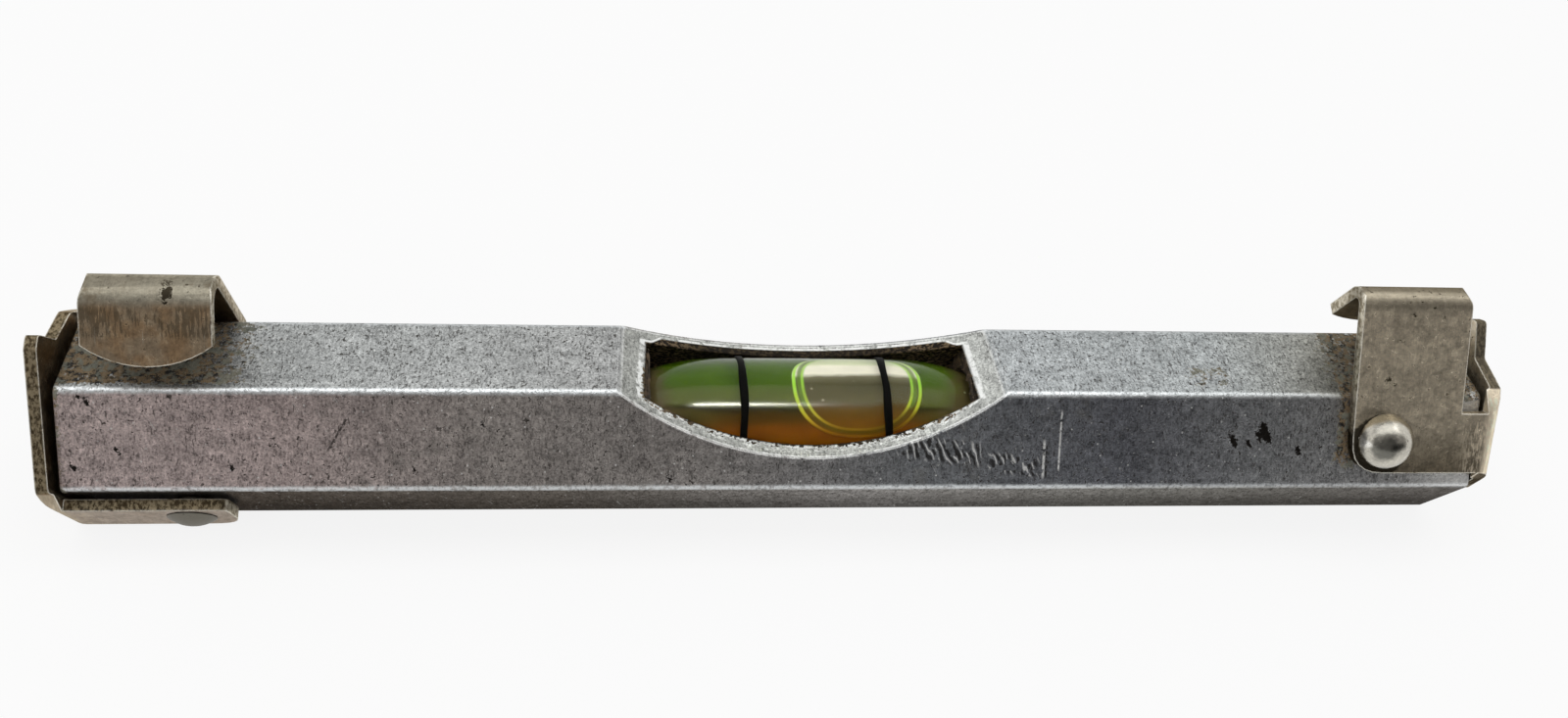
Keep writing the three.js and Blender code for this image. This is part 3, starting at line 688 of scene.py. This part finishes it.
def clip_cuts(f, at, metal):
    """The cut edges: torn and dark round the web and leg, light on the hook's sides."""
    faces_side = f.step(at.turn_up, 0.55, 0.80)
    in_plane = f.step(abs(at.out), 5.0, 4.7).or_more(faces_side)
    on_web = f.step(at.reach, WEB_START, WEB_START + 0.2)
    web_edge = on_web * f.step(at.turn_along, 0.6, 0.3) * in_plane
    leg_edge = f.step(at.out, -4.8, -5.0) * faces_side
    sheared = web_edge.or_more(leg_edge)
    torn = f.noise(f.stretched(at.point, 2.4, 1.3, 1.3), 2.6, 5.0, 0.72)
    shear = f.mixed(f.step(torn, 0.42, 0.58), (0.040, 0.030, 0.014), (0.36, 0.30, 0.195))
    metal = f.mixed(sheared * 0.85, metal, f.shaded(shear, 0.38 + 0.45 * at.left))
    side_edge = before_web(f, at) * f.step(at.turn_along, 0.5, 0.8)
    cut_side = f.mixed(f.step(torn, 0.40, 0.58), (0.26, 0.225, 0.16), (0.80, 0.75, 0.63))
    return f.mixed(side_edge * 0.85, metal, cut_side), sheared, torn


def before_web(f, at):
    """1 on the hook and the leg, 0 from the bend on."""
    return f.step(at.reach, HOOK_END + 0.3, HOOK_END)


def clip_bend(f, at, metal):
    """The bright bend between plate and web, with bright upright streaks beside it: streaked metal
    and a painted highlight.
    """
    # Painted highlight on the bend, with streaks
    bend = f.step(at.reach, WEB_START - 0.1, WEB_START + 0.4)
    bend = bend * f.step(abs(at.out), 4.6, 4.9) * f.step(at.turn_up, 0.6, 0.3)
    vertical = f.noise(f.stretched(at.point, 7.0, 1.2, 1.2), 1.5, 3.0, 0.6)
    beside = f.step(at.reach, 37.6, 39.0) * f.step(vertical + at.mottle, 0.90, 1.12) * 0.6
    beside = beside * f.step(at.up, 1.6, 1.2) * f.step(at.turn_along, 0.7, 0.4)
    brightness = (0.40 + 1.9 * vertical) * (1.0 - 0.5 * at.left)
    return f.mixed(bend.or_more(beside) * 0.85, metal, f.shaded((0.86, 0.75, 0.58), brightness))


def clip_shadows(f, at, metal):
    """Painted shade under the web and behind the leg, and a painted shadow in a crescent round the
    rivet.
    """
    # Painted shade under the web
    low_web = f.step(at.reach, WEB_START, WEB_START + 0.2)
    low_web = low_web * f.step(at.up, -1.65, -1.85) * f.step(at.out, 3.4, 4.2)
    metal = f.mixed(low_web * 0.8, metal, (0.05, 0.04, 0.028))
    # Painted shade behind the leg
    back_of_leg = before_web(f, at) * f.step(at.out, 5.35, 5.15) * f.step(at.out, 3.0, 4.4)
    metal = f.mixed(back_of_leg * 0.5, metal, (0.09, 0.075, 0.05))
    # Painted shadow round the rivet
    aside = (at.reach - RIVET_X) * at.end + 0.30
    rise = SLOPE_SIN * at.height - SLOPE_COS * abs(at.y) - RIVET_RISE + 0.38
    crescent = f.step(f.span(aside, rise) + at.speckle * 0.3, 2.12, 1.90)
    crescent = crescent * f.step(at.out, 3.0, 3.5)
    return f.mixed(crescent * 0.9, metal, (0.020, 0.016, 0.010))


def polished_rivet():
    """Domed rivet head of bright metal: a painted highlight beside its crown, a dark painted
    reflection on its crown and above it, and darker at its foot.
    """
    material, f = new_finish("polished_rivet")
    point = f.place()
    x, y, z = f.parts(point)
    slope = SLOPE_SIN * abs(y) + SLOPE_COS * (z - AXIS_HEIGHT)
    mottle = f.noise(point, 2.6, 5.0, 0.65)
    grain = f.noise(point, 12.0, 3.0, 0.6)
    metal = f.shaded((0.52, 0.495, 0.43), 0.30 + 1.1 * mottle + 0.3 * grain)
    pits = f.step(f.noise(point, 6.0, 2.0, 0.5), 0.69, 0.76)
    metal = f.mixed(pits * 0.7, metal, (0.10, 0.085, 0.06))
    # Darker at the foot of the dome
    foot = f.step(slope + mottle * 0.25, 5.82, 5.62)
    metal = f.mixed(foot * 0.8, metal, (0.10, 0.09, 0.07))
    # A dark painted reflection on the crown and above it
    aside = abs(x) - RIVET_X + 0.60
    rise = SLOPE_SIN * (z - AXIS_HEIGHT) - SLOPE_COS * abs(y) - RIVET_RISE
    crown = f.step(f.span(aside, rise + 0.1) + mottle * 0.5, 1.25, 0.70)
    brow = f.step(abs(aside) + mottle * 0.4, 0.85, 0.50) * f.step(rise, 0.0, 0.4) * 0.6
    metal = f.mixed(crown.or_more(brow) * 0.85, metal, (0.10, 0.10, 0.088))
    # Painted highlight beside the crown
    shine = f.step(f.span(aside + 1.0, rise) + mottle * 0.4, 0.62, 0.36)
    metal = f.mixed(shine, metal, (0.95, 0.93, 0.86))
    f.finished(
        Base_Color=metal,
        Metallic=1.0,
        Roughness=0.14 + 0.20 * mottle + 0.3 * foot,
        Normal=f.bumped(mottle * 0.8 + grain * 0.2 - pits, 0.03, 0.5),
    )
    return material


def vial_glass():
    """Clear glass with a trace of green, and a little dust."""
    material, f = new_finish("clear_vial_glass")
    dust = f.noise(f.place(), 3.0, 4.0, 0.7)
    f.finished(
        Base_Color=(0.95, 0.97, 0.90),
        Roughness=f.step(dust, 0.60, 0.90) * 0.04 + 0.14,
        IOR=1.45,
        Transmission_Weight=1.0,
        Specular_Tint=(0.28, 0.28, 0.26),
    )
    return material


def degrees_to_front(f, y, z):
    """How far round the vial a point lies from the top, in degrees towards the front."""
    return f.maths("ARCTAN2", 0.0 - y, z - AXIS_HEIGHT) * math.degrees(1)


def dust_specks(f, point):
    """Small pale specks that show on the vial."""
    specks = f.step(f.cells(point, 1.1), 0.10, 0.05)
    return specks * f.step(f.noise(point, 0.8, 2.0), 0.47, 0.55) * 0.5


def green_spirit():
    """The spirit column: green, with a painted image of the bore's reflection and refraction round
    it (a grey-green band, a dark band and amber below), and brown at the putty.
    """
    material, f = new_finish("green_spirit")
    point = f.place()
    x, y, z = f.parts(point)
    drift = f.noise(f.stretched(point, 0.25, 0.8, 0.8), 1.0, 3.0, 0.5)
    turn = degrees_to_front(f, y, z) + (drift - 0.5) * 8.0
    # Painted reflection and refraction: grey-green, then a dark band, then amber towards the front
    green = f.along(turn, [
        (-90, (0.040, 0.080, 0.003)),
        (-34, (0.044, 0.090, 0.001)),
        (0, (0.036, 0.075, 0.001)),
        (9, (0.056, 0.076, 0.011)),
        (28, (0.066, 0.076, 0.013)),
        (33, (0.015, 0.013, 0.0001)),
        (46, (0.060, 0.028, 0.001)),
        (60, (0.150, 0.045, 0.002)),
        (110, (0.24, 0.09, 0.004)),
    ])
    cooler = f.step(abs(x - 1.0), 4.5, 8.0) * f.step(turn, 30.0, 40.0)
    green = f.mixed(cooler * 0.6, green, (0.062, 0.058, 0.014))
    patches = f.noise(point, 1.5, 5.0, 0.65)
    from_middle = abs(x - VIAL_MIDDLE) + f.step(turn, 10.0, 60.0) * 1.2
    ends = f.step(from_middle + patches * 1.8, 8.6, 9.9)
    brown = f.mixed(patches, (0.035, 0.024, 0.012), (0.10, 0.07, 0.035))
    green = f.mixed(ends * 0.9, green, brown)
    green = f.mixed(f.step(x, 7.0, 10.0) * 0.45, green, (0.052, 0.046, 0.012))
    green = f.shaded(green, 0.70 + 0.6 * drift)
    f.finished(
        Base_Color=f.mixed(dust_specks(f, point), green, (0.30, 0.32, 0.20)),
        Roughness=0.5 + 0.1 * drift,
        Specular_IOR_Level=0.04,
    )
    return material


def bubble_air():
    """The bubble: painted bright rims where the spirit meets the air, a painted highlight band, and
    a painted image of the vial's far side inside.
    """
    material, f = new_finish("bubble_air")
    point = f.place()
    x, y, z = f.parts(point)
    turn = degrees_to_front(f, y, z)
    cloud = f.noise(f.stretched(point, 0.5, 1.0, 1.0), 1.1, 4.0, 0.6)
    lengthwise = abs(x - BUBBLE_MIDDLE) * (1 / BUBBLE_HALF_LENGTH)
    lengthwise = f.maths("POWER", lengthwise, BUBBLE_SQUARENESS)
    around = f.maths("POWER", abs(turn) * (1 / BUBBLE_HALF_ANGLE), BUBBLE_SQUARENESS)
    reach = f.maths("POWER", lengthwise + around, 1 / BUBBLE_SQUARENESS)
    # Painted highlight: the cream band high on the bubble's back; below it a painted image of the
    # vial's far side
    inner = f.along(turn + (cloud - 0.5) * 10.0, [
        (-80, (0.30, 0.34, 0.16)),
        (-34, (0.62, 0.66, 0.42)),
        (-27, (0.85, 0.81, 0.70)),
        (-13, (0.80, 0.76, 0.66)),
        (-7, (0.13, 0.12, 0.07)),
        (4, (0.057, 0.051, 0.021)),
        (27, (0.069, 0.056, 0.020)),
        (32, (0.070, 0.038, 0.003)),
        (52, (0.125, 0.052, 0.003)),
        (80, (0.24, 0.10, 0.007)),
    ])
    inner = f.shaded(inner, 0.80 + 0.4 * cloud)
    inner = f.mixed(dust_specks(f, point), inner, (0.60, 0.56, 0.42))
    # Painted light on the rims: lime green, turning orange low at the front
    edge = f.along(turn, [
        (-60, (0.60, 0.82, 0.22)),
        (0, (0.30, 0.62, 0.05)),
        (30, (0.42, 0.48, 0.03)),
        (66, (0.70, 0.28, 0.02)),
    ])
    shade = f.step(reach, 0.80, 0.86) * f.step(reach, 0.95, 0.90)
    around_rim = f.mixed(f.step(turn, 26.0, 36.0), (0.095, 0.165, 0.014), (0.085, 0.055, 0.004))
    inner = f.mixed(shade * 0.85, inner, around_rim)
    low_right = f.step(turn, 28.0, 44.0) * f.step(x - BUBBLE_MIDDLE, -0.6, 1.6)
    fading = (f.step(turn, 62.0, 34.0) * 0.75 + 0.25) * (1.0 - 0.65 * low_right)
    outer_rim = f.within(reach, 0.955, 0.985, 0.02) * fading
    inner_rim = f.within(reach, 0.835, 0.85, 0.025) * fading * (0.25 + 0.9 * cloud)
    rim = outer_rim.or_more(inner_rim)
    f.finished(
        Base_Color=f.mixed(rim, inner, edge),
        Roughness=0.30 + 0.1 * cloud,
        Specular_IOR_Level=0.06,
    )
    return material


def black_line_paint():
    """Black paint, worn a little uneven."""
    material, f = new_finish("black_line_paint")
    point = f.place()
    patch = f.noise(point, 4.0, 4.0, 0.6)
    f.finished(
        Base_Color=f.shaded((0.003, 0.003, 0.0025), 0.6 + 0.9 * patch),
        Roughness=0.35 + 0.3 * patch,
        Specular_IOR_Level=0.03,
        Normal=f.bumped(patch, 0.03, 0.6),
    )
    return material


def hard_putty():
    """Old dark putty: brown, crumbly, with pale and black crumbs."""
    material, f = new_finish("hard_putty")
    point = f.place()
    lump = f.noise(point, 1.3, 6.0, 0.7)
    crumb = f.noise(point, 5.0, 4.0, 0.7)
    tone = f.mixed(f.step(lump, 0.40, 0.68), (0.022, 0.014, 0.007), (0.16, 0.105, 0.058))
    tone = f.mixed(f.step(crumb, 0.58, 0.68) * 0.7, tone, (0.34, 0.27, 0.17))
    f.finished(
        Base_Color=f.mixed(f.step(crumb, 0.42, 0.32) * 0.8, tone, (0.012, 0.01, 0.007)),
        Roughness=0.6 + 0.3 * lump,
        Normal=f.bumped(lump + crumb * 0.5, 0.16, 1.0),
    )
    return material


def stopper_rubber():
    """Black rubber with a dusty bloom."""
    material, f = new_finish("stopper_rubber")
    point = f.place()
    bloom = f.noise(point, 2.0, 4.0, 0.6)
    f.finished(
        Base_Color=f.shaded((0.035, 0.033, 0.031), 0.6 + 0.9 * bloom),
        Roughness=0.7 + 0.2 * bloom,
        Normal=f.bumped(bloom, 0.03, 0.5),
    )
    return material


def metres(points):
    """Points about the vial's axis in millimetres, in the frame in metres."""
    return [Vector((x, y, z + AXIS_HEIGHT)) * MM for x, y, z in points]


def turn_outwards(mesh):
    """All faces of a closed mesh face out, as glass needs to bend light the right way."""
    form = bmesh.new()
    form.from_mesh(mesh)
    bmesh.ops.recalc_face_normals(form, faces=form.faces)
    form.to_mesh(mesh)
    form.free()


def new_piece(name, points, faces, material, body, nodes):
    """A closed smooth piece from points about the vial's axis, in the place of its CAD nodes."""
    mesh = bpy.data.meshes.new(name)
    mesh.from_pydata(metres(points), [], faces)
    turn_outwards(mesh)
    mesh.materials.append(material)
    mesh.shade_smooth()
    piece = bpy.data.objects.new(name, mesh)
    bpy.context.collection.objects.link(piece)
    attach(piece, body)
    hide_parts(*nodes)
    return piece


def loop_faces(loops, turns, closed):
    """Faces between loops of as many points each. If closed, the last loop meets the first."""
    faces = []
    last = loops if closed else loops - 1
    for i in range(last):
        here, ahead = i * turns, ((i + 1) % loops) * turns
        for j in range(turns):
            k = (j + 1) % turns
            faces.append((here + j, here + k, ahead + k, ahead + j))
    return faces


def vial_reach(x):
    """The vial's outer radius at a place along it."""
    past = max(abs(x - VIAL_MIDDLE) - VIAL_STRAIGHT, 0.0)
    share = VIAL_END_RADIUS / VIAL_RADIUS
    fall = (VIAL_HALF_LENGTH - VIAL_STRAIGHT) / math.sqrt(1 - share ** 2)
    return VIAL_RADIUS * math.sqrt(max(1 - (past / fall) ** 2, 0.0))


def turned(name, profile, material, nodes):
    """A body turned about the vial's axis from (x, radius) pairs."""
    points = []
    for x, radius in profile:
        for j in range(VIAL_TURNS):
            angle = 2 * math.pi * j / VIAL_TURNS
            points.append((x, radius * math.sin(angle), radius * math.cos(angle)))
    faces = loop_faces(len(profile), VIAL_TURNS, False)
    faces.append(tuple(reversed(range(VIAL_TURNS))))
    faces.append(tuple(range((len(profile) - 1) * VIAL_TURNS, len(profile) * VIAL_TURNS)))
    return new_piece(name, points, faces, material, "level", nodes)


def vial_profile(inset, most):
    """The vial's outline moved in by an inset and no wider than most, with rounded ends."""
    half = VIAL_HALF_LENGTH - inset
    pairs = []
    for i in range(VIAL_STEPS + 1):
        x = VIAL_MIDDLE - half * math.cos(math.pi * i / VIAL_STEPS)
        pairs.append((x, min(vial_reach(x) - inset, most)))
    out, narrower = END_ROUNDING
    first, last = pairs[0], pairs[-1]
    return [(first[0] - out, first[1] - narrower), *pairs, (last[0] + out, last[1] - narrower)]


def air_bubble(material):
    """A long blister on the spirit: rings from its middle out to its rim, and back beneath."""
    rings, turns = BUBBLE_RINGS, BUBBLE_TURNS
    points = []
    for i in range(2 * rings - 1):
        above = i < rings
        share = math.sin(math.pi / 2 * ((i + 1) if above else (2 * rings - 1 - i)) / rings)
        for j in range(turns):
            angle = 2 * math.pi * j / turns
            across, along = math.sin(angle), math.cos(angle)
            most = abs(across) ** BUBBLE_SQUARENESS + abs(along) ** BUBBLE_SQUARENESS
            reach = share / most ** (1 / BUBBLE_SQUARENESS)
            x = BUBBLE_MIDDLE + BUBBLE_HALF_LENGTH * reach * along
            turn = math.radians(BUBBLE_HALF_ANGLE) * reach * across
            swell = math.sqrt(max(1 - share ** 2, 0.0))
            radius = SPIRIT_RADIUS + (BUBBLE_CROWN if above else -BUBBLE_KEEL) * swell
            points.append((x, radius * math.sin(turn), radius * math.cos(turn)))
    faces = loop_faces(2 * rings - 1, turns, False)
    crown, keel = len(points), len(points) + 1
    points.append((BUBBLE_MIDDLE, 0.0, SPIRIT_RADIUS + BUBBLE_CROWN))
    points.append((BUBBLE_MIDDLE, 0.0, SPIRIT_RADIUS - BUBBLE_KEEL))
    end = (2 * rings - 2) * turns
    for j in range(turns):
        k = (j + 1) % turns
        faces.append((crown, k, j))
        faces.append((keel, end + j, end + k))
    return new_piece("air_bubble", points, faces, material, "bubble", ["vial_bubble"])


def painted_line(node, material):
    """A hand-painted line round the vial: a thin band that leans and wanders a little."""
    place, lean = LINE_PLACES[node]
    tilt = math.tan(math.radians(lean))
    section = [(-0.5, 0.0), (-0.4, 1.0), (0.4, 1.0), (0.5, 0.0)]
    points = []
    for j in range(VIAL_TURNS):
        angle = 2 * math.pi * j / VIAL_TURNS
        wander = 0.035 * math.sin(3 * angle + place) + 0.02 * math.sin(7 * angle + 2 * place)
        broad = LINE_WIDTH * (1 + 0.10 * math.sin(5 * angle + place))
        for share, out in section:
            radius = vial_reach(place) + LINE_LIFT + LINE_THICKNESS * out
            z = radius * math.cos(angle)
            x = place + wander + share * broad - tilt * z
            points.append((x, radius * math.sin(angle), z))
    faces = loop_faces(VIAL_TURNS, len(section), True)
    return new_piece("painted_" + node, points, faces, material, "level", [node])


def dress_node(name, material):
    """A CAD node keeps its shape: its faces are welded for smooth curves and get their finish."""
    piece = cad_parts[name]
    for slot in piece.material_slots:
        slot.material = material
    piece.data.shade_smooth()
    weld = piece.modifiers.new("weld", "WELD")
    weld.merge_threshold = WELD_DISTANCE
    split = piece.modifiers.new("keep_corners", "EDGE_SPLIT")
    split.split_angle = math.radians(SHARP_ANGLE)


def lumpy(name):
    """Gives a putty bed an uneven surface, which only sinks, so that it stays clear of the vial."""
    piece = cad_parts[name]
    piece.modifiers.remove(piece.modifiers["keep_corners"])
    finer = piece.modifiers.new("finer", "SUBSURF")
    finer.subdivision_type = "SIMPLE"
    finer.levels = finer.render_levels = 3
    lumps = bpy.data.textures.new("putty_lumps", "CLOUDS")
    lumps.noise_scale = PUTTY_LUMP * MM
    lumps.noise_depth = 3
    uneven = piece.modifiers.new("uneven", "DISPLACE")
    uneven.texture = lumps
    uneven.texture_coords = "LOCAL"
    uneven.mid_level = 1.0  # no lump stands out
    uneven.strength = PUTTY_SINK * MM


def dress_nodes():
    """The CAD's own pieces that show as they are: bar, clips, rivets, beds and stopper."""
    nickel = worn_nickel()
    rivet = polished_rivet()
    putty = hard_putty()
    dress_node("body_tube", pitted_aluminium())
    for side in ("left", "right"):
        dress_node("clip_" + side, nickel)
        dress_node("rivet_" + side, rivet)
        dress_node("vial_bed_" + side, putty)
        lumpy("vial_bed_" + side)
    dress_node("vial_stopper", stopper_rubber())


def make_vial():
    """The vial's glass, spirit, bubble and lines, which stand in for their CAD nodes."""
    outline = vial_profile(0.0, VIAL_RADIUS)
    glass = turned("glass_vial", outline, vial_glass(), ["vial_glass"])
    glass.visible_shadow = False
    vial_glint(glass)
    column = vial_profile(VIAL_WALL + SPIRIT_GAP, SPIRIT_RADIUS)
    turned("spirit", column, green_spirit(), ["vial_liquid"])
    air_bubble(bubble_air())
    paint = black_line_paint()
    for node in LINE_PLACES:
        painted_line(node, paint)


def flat_card(name, corners, material):
    """A flat part of the studio, from its four corners."""
    mesh = bpy.data.meshes.new(name)
    mesh.from_pydata([Vector(corner) * MM for corner in corners], [], [(0, 1, 2, 3)])
    mesh.materials.append(material)
    card = bpy.data.objects.new(name, mesh)
    bpy.context.collection.objects.link(card)
    return card


def seen_directly(f):
    """1 for what the camera, a reflection or the glass shows of the background."""
    camera = f.node("LightPath", {}, {}, output="Is Camera Ray")
    glossy = f.node("LightPath", {}, {}, output="Is Glossy Ray")
    through = f.node("LightPath", {}, {}, output="Is Transmission Ray")
    return camera.or_more(glossy).or_more(through)


def white_floor():
    """The floor, which takes soft shadows and is otherwise as white as the background."""
    material, f = new_finish("white_floor")
    lit = f.node("BsdfDiffuse", {}, {"Color": (0.9, 0.9, 0.9, 1)})
    white = f.node("Emission", {}, {"Color": (1, 1, 1, 1), "Strength": 1.0})
    share = seen_directly(f) * 0.86
    surface = f.node("MixShader", {}, {0: share, 1: lit, 2: white})
    f.node("OutputMaterial", {}, {"Surface": surface})
    turns = [(-1, -1), (1, -1), (1, 1), (-1, 1)]
    corners = [(x * FLOOR_REACH, y * FLOOR_REACH, 0) for x, y in turns]
    flat_card("floor", corners, material)


def reflected_card(name, corners, tint):
    """A card that only reflections show."""
    material, f = new_finish(name)
    glow = f.node("Emission", {}, {"Color": (*tint, 1.0), "Strength": 1.0})
    f.node("OutputMaterial", {}, {"Surface": glow})
    card = flat_card(name, corners, material)
    card.visible_camera = False
    card.visible_diffuse = False
    card.visible_transmission = False
    card.visible_shadow = False


def dark_side():
    """The dim side of the studio, in front of the part, and a darker card low on its right."""
    dim = [(-700, -330, 4), (700, -330, 4), (700, -120, 330), (-700, -120, 330)]
    reflected_card("dim_card", dim, (0.30, 0.29, 0.285))
    dark = [(50, -290, 4), (440, -230, 4), (440, -190, 130), (50, -250, 130)]
    reflected_card("dark_card", dark, (0.05, 0.05, 0.05))


def area_light(name, place, aim, size, watts, tint=(1, 1, 1)):
    """A rectangular lamp that neither the camera nor the glass shows."""
    lamp = bpy.data.lights.new(name, "AREA")
    lamp.shape = "RECTANGLE"
    lamp.size, lamp.size_y = size[0] * MM, size[1] * MM
    lamp.energy = watts
    lamp.color = tint
    light = bpy.data.objects.new(name, lamp)
    bpy.context.collection.objects.link(light)
    light.location = Vector(place) * MM
    towards = (Vector(aim) - Vector(place)).normalized()
    light.rotation_euler = towards.to_track_quat("-Z", "Y").to_euler()
    light.visible_camera = False
    light.visible_transmission = False
    return light


def vial_glint(glass):
    """A strip lamp that only the glass takes, for the long glint along the vial."""
    place, aim, size = (-12, -61.5, 189), (-12, 0, 8), (68, 11)
    strip = area_light("vial_strip", place, aim, size, 0.55, (1.0, 0.99, 0.95))
    only_glass = bpy.data.collections.new("only_glass")
    only_glass.objects.link(glass)
    strip.light_linking.receiver_collection = only_glass


def light_studio():
    """A white room, brighter to look at than it lights, and two lamps."""
    world = bpy.data.worlds.new("studio")
    world.use_nodes = True
    bpy.context.scene.world = world
    f = Finish(world.node_tree)
    level = f.node("MapRange", {}, {"Value": seen_directly(f), "To Min": 0.55, "To Max": 1.0})
    sky = f.node("Background", {}, {"Color": (1, 1, 1, 1), "Strength": level})
    f.node("OutputWorld", {}, {"Surface": sky})
    area_light("overhead", (0, 20, 300), (0, 0, 5), (420, 170), 0.34)
    area_light("front_left", (-260, -260, 220), (0, 0, 5), (160, 160), 0.12, (1.0, 0.97, 0.95))


def set_camera():
    """The photograph's camera, found by fitting its view to the bar's edges."""
    lens = bpy.data.cameras.new("camera")
    lens.sensor_width = SENSOR_WIDTH
    lens.lens = LENS
    lens.clip_start = 0.005
    lens.clip_end = 20.0
    camera = bpy.data.objects.new("camera", lens)
    bpy.context.collection.objects.link(camera)
    turn = Matrix((CAMERA_RIGHT, CAMERA_UP, CAMERA_BACK)).transposed().to_4x4()
    camera.matrix_world = Matrix.Translation(Vector(CAMERA_PLACE) * MM) @ turn
    bpy.context.scene.camera = camera


bpy.context.scene.view_settings.view_transform = "Standard"
dress_nodes()
make_vial()
white_floor()
dark_side()
light_studio()
set_camera()
